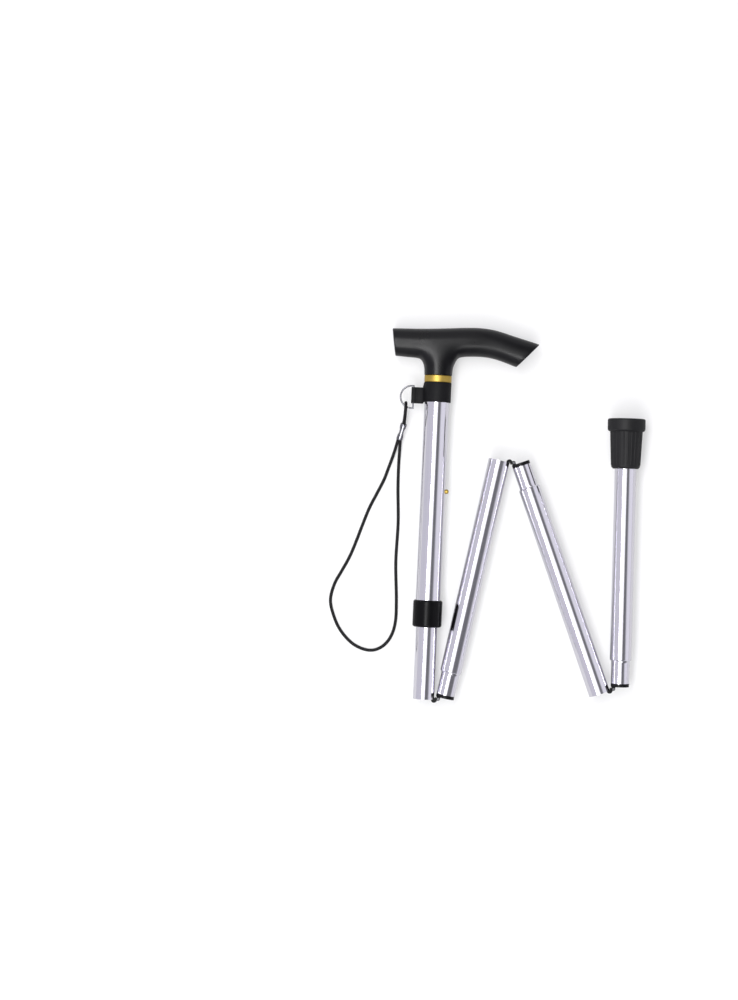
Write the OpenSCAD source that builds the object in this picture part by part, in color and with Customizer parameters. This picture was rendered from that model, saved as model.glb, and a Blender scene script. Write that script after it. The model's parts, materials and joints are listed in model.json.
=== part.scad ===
// Folding walking cane with a T handle, laid flat with its four sections folded into a W.
// X and Y lie in the plane of the folded cane, Z is up, and the cane lies on z = 0.

/* [Tubes] */
// Outside diameter of the upper tube
outer_tube_d = 22; // [20:0.5:25]
// Wall of every tube
tube_wall = 1.2; // [1:0.1:1.4]
// Radial gap between the upper tube and the tube that slides in it
slide_gap = 0.3; // [0.2:0.05:0.5]
// Radial gap between a swaged neck and the tube that it slides into
neck_gap = 0.2; // [0.15:0.05:0.4]

/* [Upper section] */
// Length of upper tube seen between the trim ring and the collar
outer_show = 193.6; // [170:0.1:230]
// Length of inner tube seen below the collar
inner_show = 64; // [50:1:90]
// Height of the lock collar
collar_h = 24; // [20:1:30]
// Thickness of the collar outside the upper tube
collar_wall = 2; // [1.8:0.1:3]
// Height of the trim ring
trim_h = 6.4; // [5:0.1:12]
// Thickness of the trim ring
trim_wall = 1.1; // [0.8:0.1:2]

/* [Height setting] */
// Distance from the mouth of the inner tube up to the button
button_y = 185; // [170:1:200]
// Diameter of the button
button_d = 4; // [3:0.5:5]
// How far the button stands out of the upper tube
button_proud = 3; // [2:0.25:4]
// Spacing of the height holes
hole_pitch = 12.7; // [10:0.1:14]
// Height holes above the one in use
holes_above = 2; // [1:1:3]
// Height holes below the one in use
holes_below = 4; // [2:1:4]

/* [Folding sections] */
// Length of a folding tube from its shoulder to its mouth
body_len = 193; // [150:1:230]
// Length of the last tube from its shoulder to its end in the foot
last_len = 203; // [160:1:240]
// Length of the straight part of a neck
neck_len = 18.5; // [15:0.5:25]
// Length of the shoulder between neck and tube
shoulder_len = 2.5; // [1.5:0.25:4]
// Angle between sections 1 and 2 when folded
splay_1 = 10.3; // [8:0.1:25]
// Angle between sections 2 and 3 when folded
splay_2 = 31.8; // [6:0.1:40]
// Angle between sections 3 and 4 when folded
splay_3 = 20.4; // [6:0.1:40]

/* [Hinges] */
// Thickness of the plate of a hinge cap
cap_plate = 3; // [2:0.25:5]
// Diameter of a hinge rivet
rivet_d = 1.8; // [1.4:0.1:2.2]
// Width of a hinge strap
strap_w = 3.2; // [2.4:0.1:3.6]
// Thickness of one ear of the fork lug
ear_t = 1.4; // [1:0.1:1.6]
// Coils in a return spring
spring_coils = 14; // [8:1:20]
// Mean diameter of a return spring
spring_d = 6; // [5:0.5:8]
// Wire diameter of a return spring
spring_wire = 1.1; // [0.8:0.1:1.4]

/* [Handle] */
// Reach of the handle to the left of the tube
handle_left = 42.6; // [30:0.1:55]
// Reach of the handle to the right of the tube
handle_right = 88.5; // [70:0.1:100]
// Height of the handle above the trim ring
handle_h = 43.5; // [38:0.1:55]
// Thickness of the handle
handle_t = 28; // [26:0.5:38]
// Length of the spigot inside the upper tube
spigot_len = 25; // [15:1:35]

/* [Wrist strap] */
// Width of the band round the upper tube
band_w = 17.6; // [15:0.1:20]
// Thickness of the band
band_t = 1.1; // [0.8:0.1:1.6]
// Length of the tab beside the tube
tab_len = 9; // [6:0.5:14]
// Width of the tab
tab_w = 14.4; // [10:0.1:15]
// How far the tab sits below the middle of the band
tab_drop = 3.3; // [0:0.1:4]
// Height of the D ring
ring_h = 21.4; // [21:0.1:22.5]
// Depth of the D ring
ring_depth = 12.9; // [12.6:0.1:16]
// Wire diameter of the D ring
ring_wire = 1.5; // [1.2:0.1:2]
// Diameter of the wrist cord
cord_d = 2.8; // [2:0.1:3.4]

/* [Foot] */
// Diameter of the foot's flange
flange_d = 33.5; // [30:0.5:38]
// Height of the flange
flange_h = 11.5; // [8:0.5:14]
// Height of the whole foot
foot_h = 44.5; // [38:0.5:55]
// Wall of the foot round the tube at its top
foot_wall = 3.2; // [2.5:0.1:4.5]
// Thickness of the sole
sole_t = 10; // [8:0.5:12]
// Ribs round the foot
foot_ribs = 24; // [12:1:30]

/* [Hidden] */

$fn = 64;
// Steps of angle along a rounded edge
round_step = 18;
round_turns = [round_step : round_step : 90];
// Overrun of every cut
over = 1;
// Running clearance of a pin in its hole
pin_gap = 0.05;
// Clearance between pieces that sit in each other
seat_gap = 0.1;
// Clearance between pieces that move past each other
free_gap = 0.3;

// Tube radii, from the upper tube inwards
outer_r = outer_tube_d / 2;
outer_bore = outer_r - tube_wall;
tube_r = outer_bore - slide_gap;
tube_bore = tube_r - tube_wall;
neck_r = tube_bore - neck_gap;
neck_bore = neck_r - tube_wall;

// Hinge: the strap bends round the rim about an axis just beyond it
fold_gap = 0.8;
fold_r = (tube_r + neck_r + fold_gap) / 2;
fold_out = 0.4;
ear_r = 1.5;
rivet_back = 1.5;
rivet_in = neck_r - ear_r - fold_gap;
strap_eye = rivet_d / 2 + pin_gap;
strap_t = 0.55;
strap_inset = 0.1;
strap_wall = strap_t + 2 * strap_inset;
rivet_face = strap_eye + strap_wall + free_gap;
rivet_reach = norm([fold_r - rivet_in, rivet_back]);
rivet_lead = atan2(rivet_back, fold_r - rivet_in);
strap_bend = rivet_reach - strap_eye - strap_inset - strap_t;
face_out = fold_out + rivet_back + rivet_face;
rivet_head = 0.5;
rivet_lap = 0.2;
rivet_head_r = rivet_d / 2 + rivet_lap;
ear_gap = 0.2;
cap_plug = 10;
fold_sides = [1, -1, 1];
splays = [splay_1, splay_2, splay_3];
shoulder_at = face_out + cap_plate + neck_len;
body_at = shoulder_at + shoulder_len;
reach_out = body_at + body_len;
last_end = body_at + last_len;

// Parts of the hinge inside the tube
slider_in = 5;
slider_len = 10;
slider_r = tube_bore - free_gap;
strap_hold = 8;
stem_r = (spring_d - spring_wire) / 2 - free_gap;
stem_len = 6;
spring_from = slider_in + slider_len + free_gap;
spring_len = 84;
anchor_at = spring_from + spring_len + free_gap;
anchor_len = 8;
anchor_r = tube_bore - seat_gap;

// Heights along the upper section, from the mouth of the inner tube
collar_at = inner_show;
collar_top = collar_at + collar_h;
collar_r = outer_r + collar_wall;
collar_lip = 3;
collar_round = 2;
collar_skin = 0.9;
sleeve_r = collar_r - collar_skin;
sleeve_wall_bore = sleeve_r + seat_gap;
sleeve_seat = 4;
outer_end = collar_at + collar_lip + sleeve_seat;
sleeve_slots = 4;
sleeve_slot_w = 1;
sleeve_slot_len = 8;
trim_at = collar_top + outer_show;
trim_r = outer_r + trim_wall;
handle_at = trim_at + trim_h;
inner_over = 25;
inner_top = button_y + inner_over;
bush_head = 5;
bush_plug = 8;
hole_gap = 0.15;
hole_r = button_d / 2 + hole_gap;
button_lap = 1;
button_flange_r = button_d / 2 + button_lap;
button_flange_t = 1.1;
button_flange_at = sqrt(pow(tube_bore, 2) - pow(button_flange_r, 2)) - seat_gap;
button_dome = 1.6;
leaf_t = 0.5;
leaf_w = 6;
leaf_len = 26;
leaf_bow = 2.7;
leaf_drop = 4;
handle_pin_r = 1.25;
handle_pin_at = trim_at + trim_h / 2;

// Wrist strap
band_r = outer_r + seat_gap;
band_at = trim_at - band_w;
ring_r = ring_wire / 2;
ring_bar_x = -(band_r + band_t + tab_len);
tab_mid_y = band_at + band_w / 2 - tab_drop;
ring_drop = 1.6;
ring_mid_y = tab_mid_y - ring_drop;
tab_eye_r = ring_r + pin_gap;
crimp_from = [-7.3, -23.9, -4.8];
crimp_to = [-10.8, -38.4, -9.3];
crimp_r = 2.9;
crimp_wall = 0.6;
crimp_run = 3;

// Foot
foot_bore = tube_r + seat_gap;
foot_top_r = tube_r + foot_wall;
foot_flare = 1.5;
foot_low_r = foot_top_r + foot_flare;
flange_r = flange_d / 2;
flange_round = 2.5;
sole_round = 1.5;
sole_groove = 1;
sole_groove_shares = [0.35, 0.65];
rib_r = 0.8;
rib_sides = 16;
washer_t = 1.5;
washer_r = tube_r - seat_gap;
sole_at = last_end + washer_t + seat_gap + sole_t;

// Where the mouth of the inner tube lies, with the middle of the folded cane at the origin
mouth_x = -71;
mouth_y = -164;
axis_z = max(flange_d, handle_t) / 2;

// Wrist cord from the middle of the D ring's bar: rows of X, Y and share of the crimp's height
cord_r = cord_d / 2;
cord_sides = 8;
wrist_route = [[-11.8, -38.4, 1.2], [-13.4, -44.9, 0.75], [-15.6, -52.9, 0.33], [-18.8, -62.9, 0.05],
  [-22.8, -74.9, 0], [-28.8, -87.9, 0], [-34.8, -100.9, 0], [-39.8, -114.9, 0], [-45.8, -132.9, 0],
  [-50.8, -145.9, 0], [-56.8, -157.9, 0], [-62.8, -169.9, 0], [-65.8, -183.9, 0], [-62.8, -196.9, 0],
  [-55.8, -210.9, 0], [-43.8, -222.9, 0], [-29.8, -227.9, 0], [-18.8, -224.9, 0], [-10.8, -215.9, 0],
  [-6.8, -201.9, 0], [-6.8, -180.9, 0], [-8.8, -147.9, 0], [-8.3, -112.9, 0], [-9.8, -82.9, 0],
  [-10.2, -62.9, 0.03], [-10, -50.9, 0.25], [-9.8, -38.4, 0.8]];
// Cord loop round the wire of the D ring, from the same point
loop_route = [[-7, -24.1, -3.3], [-6.8, -20.6, -1], [-6.6, -16.4, 2.6], [-6.5, -13.4, 4.6],
  [-6.4, -10.6, 5.2], [-6.4, -6.9, 3.7], [-6.4, -5.3, 0], [-6.4, -6.9, -3.7], [-6.4, -10.6, -5.2],
  [-6.6, -14.5, -5.9], [-6.9, -19, -6.1], [-7.6, -24.1, -6.2]];

// Handle: rows of length share, underside share, top share, thickness share and lean of the ring
handle_shares = [[0.0137, 0.388, 0.888, 0.85, -0.15], [0.024, 0.363, 0.913, 0.9, -0.145],
  [0.042, 0.361, 0.913, 0.915, -0.12], [0.085, 0.36, 0.913, 0.93, -0.06], [0.17, 0.36, 0.916, 0.96, 0],
  [0.3, 0.375, 0.94, 1, 0], [0.45, 0.415, 0.985, 1, 0], [0.56, 0.42, 1, 0.99, 0.02],
  [0.66, 0.42, 0.985, 0.97, 0.1], [0.75, 0.378, 0.9, 0.94, 0.3], [0.83, 0.329, 0.806, 0.91, 0.62],
  [0.895, 0.274, 0.738, 0.88, 0.85], [0.9271, 0.2414, 0.7057, 0.86, 0.945],
  [0.9325, 0.269, 0.678, 0.8, 0.945]];
handle_steps = 3;
handle_sides = 32;
handle_square = 2.2;
// Handle neck: rows of height share, left share, right share and thickness share
neck_shares = [[0, 1, 1, 1], [0.1, 1, 1, 1], [0.184, 1, 1.03, 1.01], [0.253, 1.07, 1.2, 1.03],
  [0.3, 1.26, 1.38, 1.05], [0.36, 1.64, 1.62, 1.07], [0.42, 1.85, 1.9, 1.09], [0.52, 1.8, 1.8, 1.12],
  [0.62, 1.5, 1.5, 1.1]];
neck_top_r = trim_r;

// A smooth curve through a list of points
function at(list, i) = list[max(0, min(len(list) - 1, i))];
function curve(a, b, c, d, t) =
  0.5 * (2 * b + (c - a) * t + (2 * a - 5 * b + 4 * c - d) * t * t + (3 * b - a - 3 * c + d) * t * t * t);
function smooth(list, steps) = [
  for (i = [0 : len(list) - 2], k = [0 : steps - 1])
    curve(at(list, i - 1), list[i], list[i + 1], at(list, i + 2), k / steps),
  list[len(list) - 1]
];
function unit(v) = v / norm(v);

// Triangles that join equal rings of points and close both ends
function ring_faces(rings, sides) = [
  for (i = [0 : rings - 2], j = [0 : sides - 1], half = [0, 1])
    let (a = i * sides + j, b = i * sides + (j + 1) % sides)
      half == 0 ? [a, b, a + sides] : [b, b + sides, a + sides],
  for (j = [1 : sides - 2]) [0, j + 1, j],
  for (j = [1 : sides - 2]) let (k = (rings - 1) * sides) [k, k + j, k + j + 1]
];
module loft(rings) {
  sides = len(rings[0]);
  polyhedron([for (ring = rings) each ring], ring_faces(len(rings), sides));
}

// A round tube swept along points
function sideways(way) = abs(way[2]) < 0.9 ? unit(cross(way, [0, 0, 1])) : unit(cross(way, [0, 1, 0]));
function tube_rings(points, r, sides) = [
  for (i = [0 : len(points) - 1])
    let (way = unit(at(points, i + 1) - at(points, i - 1)), side = sideways(way), up = cross(side, way))
      [for (j = [0 : sides - 1])
        points[i] + r * (cos(360 * j / sides) * side + sin(360 * j / sides) * up)]
];

// Return spring: points of its helix, and the least gap between its turns
spring_r = spring_wire / 2;
spring_steps = 8;
spring_sides = 6;
spring_points = [
  for (i = [0 : spring_coils * spring_steps])
    let (turn = 360 * i / spring_steps, rise = i / (spring_coils * spring_steps))
      [spring_d / 2 * cos(turn), spring_r + rise * (spring_len - spring_wire), spring_d / 2 * sin(turn)]
];
spring_gap = min([
  for (i = [0 : spring_coils * spring_steps - 1], j = [i + spring_steps / 2 : spring_coils * spring_steps])
    norm(spring_points[i] - spring_points[j])
]) - spring_wire;
echo(spring_least_gap = spring_gap);

// A solid of revolution about the Y axis, from a profile of radius and height
module turned() {
  rotate([-90, 0, 0]) rotate_extrude() children();
}
module ring(r, bore, from, to) {
  turned() translate([bore, from]) square([r - bore, to - from]);
}
module rod(r, from, to) {
  turned() translate([0, from]) square([r, to - from]);
}

// Frames: the mouth of each tube, and each section as it swings from the mouth before it
module at_upper() {
  translate([mouth_x, mouth_y, axis_z]) children();
}
module at_ring() {
  at_upper() translate([ring_bar_x, ring_mid_y, 0]) children();
}
module at_mouth(n) {
  if (n == 1) at_upper() children();
  else at_section(n) translate([0, -reach_out, 0]) children();
}
module at_section(n) {
  side = fold_sides[n - 2];
  pivot = [side * fold_r, -fold_out, 0];
  at_mouth(n - 1) translate(pivot) rotate(side * (180 - splays[n - 2])) translate(-pivot) children();
}
module sided(n) {
  if (fold_sides[n - 1] > 0) children();
  else mirror([1, 0, 0]) children();
}

// Handle with its neck and the spigot inside the upper tube
module handle_body() {
  len_x = handle_left + handle_right;
  loft([
    for (row = smooth(handle_shares, handle_steps))
      let (low = row[1] * handle_h, high = row[2] * handle_h, mid = (low + high) / 2)
        [for (j = [0 : handle_sides - 1])
          let (c = cos(360 * j / handle_sides), s = sin(360 * j / handle_sides),
            rise = (high - low) / 2 * sign(c) * pow(abs(c), 2 / handle_square))
            [row[0] * len_x - handle_left + row[4] * rise,
              mid + rise,
              -row[3] * handle_t / 2 * sign(s) * pow(abs(s), 2 / handle_square)]]
  ]);
}
module handle_neck() {
  loft([
    for (row = smooth(neck_shares, handle_steps))
      [for (j = [0 : handle_sides - 1])
        let (c = cos(360 * j / handle_sides), s = sin(360 * j / handle_sides))
          [(c < 0 ? row[1] : row[2]) * neck_top_r * c, row[0] * handle_h, row[3] * neck_top_r * s]]
  ]);
}
module handle() {
  color("#1b1b1c") at_upper() difference() {
    union() {
      translate([0, handle_at, 0]) handle_body();
      translate([0, handle_at, 0]) handle_neck();
      rod(outer_bore - seat_gap, handle_at - spigot_len, handle_at + neck_shares[3][0] * handle_h);
    }
    translate([0, handle_pin_at, 0]) cylinder(r = handle_pin_r + pin_gap, h = outer_tube_d, center = true);
  }
}
module handle_pin() {
  color("silver") at_upper() translate([0, handle_pin_at, 0])
    intersection() {
      cylinder(r = handle_pin_r, h = outer_tube_d, center = true);
      rotate([90, 0, 0]) cylinder(r = outer_r - seat_gap, h = outer_tube_d, center = true);
    }
}
module trim_ring() {
  edge = trim_wall / 2;
  bore = outer_r + seat_gap;
  color("#d8b23a") at_upper() turned()
    polygon([[bore, trim_at], [trim_r - edge, trim_at], [trim_r, trim_at + edge],
      [trim_r, handle_at - edge], [trim_r - edge, handle_at], [bore, handle_at]]);
}

// Upper tube with its row of height holes
module outer_tube() {
  color("#d4d4da") at_upper() difference() {
    ring(outer_r, outer_bore, outer_end, handle_at - seat_gap);
    for (k = [-holes_below : holes_above])
      translate([0, button_y + k * hole_pitch, 0])
        rotate([0, 90, 0]) cylinder(r = hole_r, h = outer_tube_d);
    translate([0, handle_pin_at, 0])
      cylinder(r = handle_pin_r + pin_gap, h = outer_tube_d + over, center = true);
  }
}

// Band with a folded tab that holds the bar of the D ring
module strap_band() {
  bar_x = -ring_bar_x;
  eye = tab_eye_r + band_t;
  color("#202022") at_upper() translate([0, band_at, 0]) difference() {
    union() {
      ring(band_r + band_t, band_r, 0, band_w);
      translate([0, tab_mid_y - band_at - tab_w / 2, 0]) difference() {
        union() {
          translate([-bar_x, 0, -band_t]) cube([tab_len + band_t, tab_w, 2 * band_t]);
          translate([-bar_x, 0, 0]) rotate([-90, 0, 0]) cylinder(r = eye, h = tab_w);
        }
        translate([-bar_x, -over, 0]) rotate([-90, 0, 0]) cylinder(r = tab_eye_r, h = tab_w + 2 * over);
      }
    }
    translate([0, -over, 0]) rotate([-90, 0, 0]) cylinder(r = band_r, h = band_w + 2 * over);
  }
}

// D ring: a straight bar in the tab, two short legs and a half circle
module d_ring() {
  bend = (ring_h - ring_wire) / 2;
  leg = ring_depth - ring_wire - bend;
  color("#e4e4e8") at_ring() {
    rotate([90, 0, 0]) cylinder(r = ring_r, h = 2 * bend, center = true);
    for (side = [-1, 1]) translate([0, side * bend, 0]) {
      sphere(r = ring_r);
      rotate([0, -90, 0]) cylinder(r = ring_r, h = leg);
    }
    translate([-leg, 0, 0]) rotate(90) rotate_extrude(angle = 180) translate([bend, 0]) circle(r = ring_r);
  }
}

// Wrist cord, its loop on the D ring and the ferrule that closes both
module cord(points) {
  color("#151516") loft(tube_rings(points, cord_r, cord_sides));
}
module wrist_cord() {
  lie = cord_r - axis_z;
  rise = crimp_to[2] - lie;
  at_ring() cord([for (p = smooth(wrist_route, 2)) [p[0], p[1], lie + max(0, p[2]) * rise]]);
}
module ring_loop() {
  at_ring() cord(smooth(loop_route, 2));
}
module cord_crimp() {
  way = unit(crimp_to - crimp_from);
  length = norm(crimp_to - crimp_from);
  edge = crimp_r - crimp_wall;
  color("#c8c8cc") at_ring() translate(crimp_from) rotate([0, acos(way[2]), atan2(way[1], way[0])])
    rotate_extrude()
      polygon([[0, 0], [edge, 0], [crimp_r, crimp_wall], [crimp_r, crimp_run],
        [crimp_r - crimp_wall / 2, length / 2], [crimp_r, length - crimp_run],
        [crimp_r, length - crimp_wall], [edge, length], [0, length]]);
}

// Split collet on the end of the upper tube, and the collar that squeezes it on the inner tube
module thread_sleeve() {
  from = collar_at + collar_lip + free_gap;
  to = collar_top - collar_lip - free_gap;
  bore = tube_r + seat_gap;
  wide = outer_r + seat_gap;
  stop = outer_end - seat_gap;
  color("#2a2a2c") at_upper() difference() {
    turned()
      polygon([[bore, from], [sleeve_r, from], [sleeve_r, to], [wide, to], [wide, stop], [bore, stop]]);
    for (k = [0 : sleeve_slots - 1]) rotate([0, 45 + 360 * k / sleeve_slots, 0])
      translate([0, from - over, -sleeve_slot_w / 2])
        cube([collar_r, over + sleeve_slot_len, sleeve_slot_w]);
  }
}
module lock_collar() {
  module corner(y, turn) {
    translate([collar_r - collar_round, y]) rotate(turn) intersection() {
      circle(r = collar_round);
      square(collar_round);
    }
  }
  color("#161617") at_upper() turned() difference() {
    union() {
      translate([0, collar_at + collar_round]) square([collar_r, collar_h - 2 * collar_round]);
      translate([0, collar_at]) square([collar_r - collar_round, collar_h]);
      corner(collar_at + collar_round, -90);
      corner(collar_top - collar_round, 0);
    }
    translate([0, collar_at - over]) square([tube_r + free_gap, collar_h + over]);
    translate([0, collar_at + collar_lip]) square([sleeve_wall_bore, collar_h - 2 * collar_lip]);
    translate([0, collar_at + collar_lip]) square([outer_r + free_gap, collar_h]);
  }
}

// Inner tube with its bush, button and leaf spring
module inner_tube() {
  color("#cfcfd6") at_upper() difference() {
    ring(tube_r, tube_bore, 0, inner_top);
    translate([0, button_y, 0]) rotate([0, 90, 0]) cylinder(r = hole_r, h = outer_tube_d);
  }
}
module guide_bush() {
  color("#303032") at_upper() {
    ring(tube_r + slide_gap / 2, neck_bore - tube_wall, inner_top + seat_gap, inner_top + bush_head);
    ring(tube_bore - seat_gap, neck_bore - tube_wall, inner_top - bush_plug, inner_top + seat_gap);
  }
}
module snap_button() {
  top = outer_r + button_proud;
  r = button_d / 2;
  color("#c9a23a") at_upper() translate([0, button_y, 0]) rotate([0, 90, 0]) rotate_extrude()
    polygon([[0, button_flange_at - button_flange_t], [button_flange_r, button_flange_at - button_flange_t],
      [button_flange_r, button_flange_at], [r, button_flange_at], [r, top - button_dome],
      for (a = round_turns) [r * cos(a), top - button_dome * (1 - sin(a))]]);
}
module button_spring() {
  head = button_flange_at - button_flange_t - seat_gap;
  back_x = -sqrt(pow(tube_bore - seat_gap, 2) - pow(leaf_w / 2, 2));
  top = button_y + leaf_w / 2;
  neck = button_y - leaf_w / 2;
  tail = button_y - leaf_len;
  color("#9a9aa0") at_upper() translate([0, 0, -leaf_w / 2]) linear_extrude(leaf_w)
    polygon([[head, top], [head, neck], [head - leaf_bow, tail],
      [back_x + leaf_bow, tail - leaf_drop], [back_x, tail], [back_x, top], [back_x + leaf_t, top],
      [back_x + leaf_t, tail + leaf_t], [back_x + leaf_bow, tail - leaf_drop + 2 * leaf_t],
      [head - leaf_bow - leaf_t, tail + leaf_t], [head - leaf_t, neck], [head - leaf_t, top]]);
}

// Folding tubes: a swaged neck, a rounded shoulder and a body that ends in a plain mouth
module section_tube(length) {
  end = body_at + length;
  step = tube_r - neck_r;
  color("#cfcfd6") turned() polygon([[neck_bore, -face_out - cap_plate], [neck_r, -face_out - cap_plate],
    [neck_r, -shoulder_at],
    for (a = round_turns) [neck_r + step * (1 - cos(a)), -shoulder_at - shoulder_len * sin(a)],
    [tube_r, -end], [tube_bore, -end], [tube_bore, -body_at], [neck_bore, -shoulder_at]]);
}
module tube_2() {
  at_section(2) section_tube(body_len);
}
module tube_3() {
  at_section(3) section_tube(body_len);
}
module tube_4() {
  at_section(4) section_tube(last_len);
}

// Hinge cap: a plug in the neck, a plate over its end and a fork lug for the rivet
module hinge_cap(n) {
  rivet_y = -fold_out - rivet_back;
  ear_from = strap_w / 2 + ear_gap;
  color("#18181a") at_section(n + 1) sided(n) {
    rod(neck_r, -face_out - cap_plate, -face_out);
    rod(neck_bore - seat_gap, -face_out - cap_plate - cap_plug, -face_out);
    for (side = [-1, 1]) translate([rivet_in, rivet_y, side * (ear_from + ear_t / 2)]) difference() {
      union() {
        cylinder(r = ear_r, h = ear_t, center = true);
        translate([-ear_r, -rivet_face - cap_plate / 2, -ear_t / 2])
          cube([2 * ear_r, rivet_face + cap_plate / 2, ear_t]);
      }
      cylinder(r = rivet_d / 2 + pin_gap, h = ear_t + over, center = true);
    }
  }
}
module hinge_cap_1() {
  hinge_cap(1);
}
module hinge_cap_2() {
  hinge_cap(2);
}
module hinge_cap_3() {
  hinge_cap(3);
}

// Rivet through the fork lug, with a low head on each side
module hinge_rivet(n) {
  half = strap_w / 2 + ear_gap + ear_t + pin_gap;
  color("#d8d8dc") at_section(n + 1) sided(n) translate([rivet_in, -fold_out - rivet_back, 0]) {
    cylinder(r = rivet_d / 2, h = 2 * half, center = true);
    for (side = [-1, 1]) translate([0, 0, side * (half + rivet_head / 2)])
      cylinder(r = rivet_head_r, h = rivet_head, center = true);
  }
}
module hinge_rivet_1() {
  hinge_rivet(1);
}
module hinge_rivet_2() {
  hinge_rivet(2);
}
module hinge_rivet_3() {
  hinge_rivet(3);
}

// Flexible strap: straight in the tube, bent round the rim, with an eye on the rivet
module hinge_strap(n) {
  lead = rivet_lead - splays[n - 1];
  color("#232325") at_mouth(n) sided(n) translate([fold_r, -fold_out, -strap_w / 2]) {
    rotate(180) rotate_extrude(angle = 180 + lead) translate([strap_bend, 0]) square([strap_t, strap_w]);
    translate([-strap_bend - strap_t, 0, 0]) cube([strap_t, fold_out + slider_in + strap_hold, strap_w]);
    rotate(lead) translate([rivet_reach, 0, 0]) difference() {
      cylinder(r = strap_eye + strap_wall, h = strap_w);
      translate([0, 0, -over]) cylinder(r = strap_eye, h = strap_w + 2 * over);
    }
  }
}
module hinge_strap_1() {
  hinge_strap(1);
}
module hinge_strap_2() {
  hinge_strap(2);
}
module hinge_strap_3() {
  hinge_strap(3);
}

// Slug that carries the strap in the tube, with a stem for the spring
module strap_slider(n) {
  slot_x = fold_r - strap_bend - strap_t - seat_gap;
  color("#3a3a3e") at_mouth(n) sided(n) difference() {
    union() {
      rod(slider_r, slider_in, slider_in + slider_len);
      rod(stem_r, slider_in, slider_in + slider_len + stem_len);
    }
    translate([slot_x, slider_in - over, -strap_w / 2 - seat_gap])
      cube([strap_t + 2 * seat_gap, strap_hold + seat_gap + over, strap_w + 2 * seat_gap]);
  }
}
module strap_slider_1() {
  strap_slider(1);
}
module strap_slider_2() {
  strap_slider(2);
}
module strap_slider_3() {
  strap_slider(3);
}

// Extension spring between the slug and its anchor
module return_spring(n) {
  color("#a8a8ae") at_mouth(n) translate([0, spring_from, 0])
    loft(tube_rings(spring_points, spring_r, spring_sides));
}
module return_spring_1() {
  return_spring(1);
}
module return_spring_2() {
  return_spring(2);
}
module return_spring_3() {
  return_spring(3);
}
module spring_anchor(n) {
  color("#3a3a3e") at_mouth(n) {
    rod(anchor_r, anchor_at, anchor_at + anchor_len);
    rod(stem_r, anchor_at - stem_len, anchor_at);
  }
}
module spring_anchor_1() {
  spring_anchor(1);
}
module spring_anchor_2() {
  spring_anchor(2);
}
module spring_anchor_3() {
  spring_anchor(3);
}

// Rubber foot with a flange, ribs up its side and ring grooves in the sole
module foot() {
  top = -sole_at + foot_h;
  side_from = -sole_at + flange_h;
  lean = atan2(foot_low_r - foot_top_r, foot_h - flange_h);
  color("#1d1d1e") at_section(4) difference() {
    union() {
      turned() polygon([[0, -sole_at], [flange_r - sole_round, -sole_at],
        for (a = round_turns) [flange_r - sole_round * (1 - sin(a)), -sole_at + sole_round * (1 - cos(a))],
        [flange_r, side_from - flange_round],
        for (a = round_turns)
          [flange_r - flange_round * (1 - cos(a)), side_from - flange_round * (1 - sin(a))],
        [foot_low_r, side_from], [foot_top_r, top - sole_round], [foot_top_r - sole_round, top], [0, top]]);
      for (k = [0 : foot_ribs - 1]) rotate([0, 360 * k / foot_ribs, 0])
        translate([foot_low_r - rib_r / 2, side_from - sole_round, 0])
          rotate([-90, 0, lean]) cylinder(r = rib_r, h = foot_h - flange_h - sole_round, $fn = rib_sides);
    }
    rod(foot_bore, -sole_at + sole_t, top + over);
    for (share = sole_groove_shares)
      let (mid = share * flange_r)
        ring(mid + sole_groove, mid - sole_groove, -sole_at - over, -sole_at + sole_groove);
  }
}
module foot_washer() {
  color("silver") at_section(4) rod(washer_r, -sole_at + sole_t, -sole_at + sole_t + washer_t);
}

handle();
trim_ring();
handle_pin();
outer_tube();
strap_band();
d_ring();
cord_crimp();
wrist_cord();
ring_loop();
thread_sleeve();
lock_collar();
inner_tube();
guide_bush();
snap_button();
button_spring();
tube_2();
tube_3();
tube_4();
hinge_cap_1();
hinge_cap_2();
hinge_cap_3();
hinge_rivet_1();
hinge_rivet_2();
hinge_rivet_3();
hinge_strap_1();
hinge_strap_2();
hinge_strap_3();
strap_slider_1();
strap_slider_2();
strap_slider_3();
return_spring_1();
return_spring_2();
return_spring_3();
spring_anchor_1();
spring_anchor_2();
spring_anchor_3();
foot();
foot_washer();
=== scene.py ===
"""Looks of a folding walking cane that lies flat, folded into a W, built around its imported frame."""

import json
import logging
import math
from collections.abc import Callable, Sequence
from dataclasses import dataclass
from enum import Enum
from itertools import product

import bpy
from bpy.types import Material, Node, NodeSocket, NodeTree, Object
from mathutils import Matrix, Vector


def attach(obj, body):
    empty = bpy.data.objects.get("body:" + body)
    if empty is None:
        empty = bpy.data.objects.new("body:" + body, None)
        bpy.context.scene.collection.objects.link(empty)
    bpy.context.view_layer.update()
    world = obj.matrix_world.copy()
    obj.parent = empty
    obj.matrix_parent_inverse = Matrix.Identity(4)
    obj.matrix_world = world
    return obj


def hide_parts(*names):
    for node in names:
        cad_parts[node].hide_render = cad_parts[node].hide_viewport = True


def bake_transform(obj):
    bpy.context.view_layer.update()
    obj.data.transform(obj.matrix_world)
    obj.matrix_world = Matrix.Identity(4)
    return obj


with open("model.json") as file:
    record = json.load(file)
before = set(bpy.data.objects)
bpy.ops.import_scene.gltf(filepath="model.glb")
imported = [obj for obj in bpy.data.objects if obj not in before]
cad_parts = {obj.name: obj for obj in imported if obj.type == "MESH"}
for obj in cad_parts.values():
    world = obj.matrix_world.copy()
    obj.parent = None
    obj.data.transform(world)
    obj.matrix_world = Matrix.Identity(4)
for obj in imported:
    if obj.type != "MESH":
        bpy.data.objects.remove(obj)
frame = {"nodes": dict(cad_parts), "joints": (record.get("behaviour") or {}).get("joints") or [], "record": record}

logging.basicConfig(level=logging.INFO, format="%(name)s: %(message)s")
LOG = logging.getLogger("cane")
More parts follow.
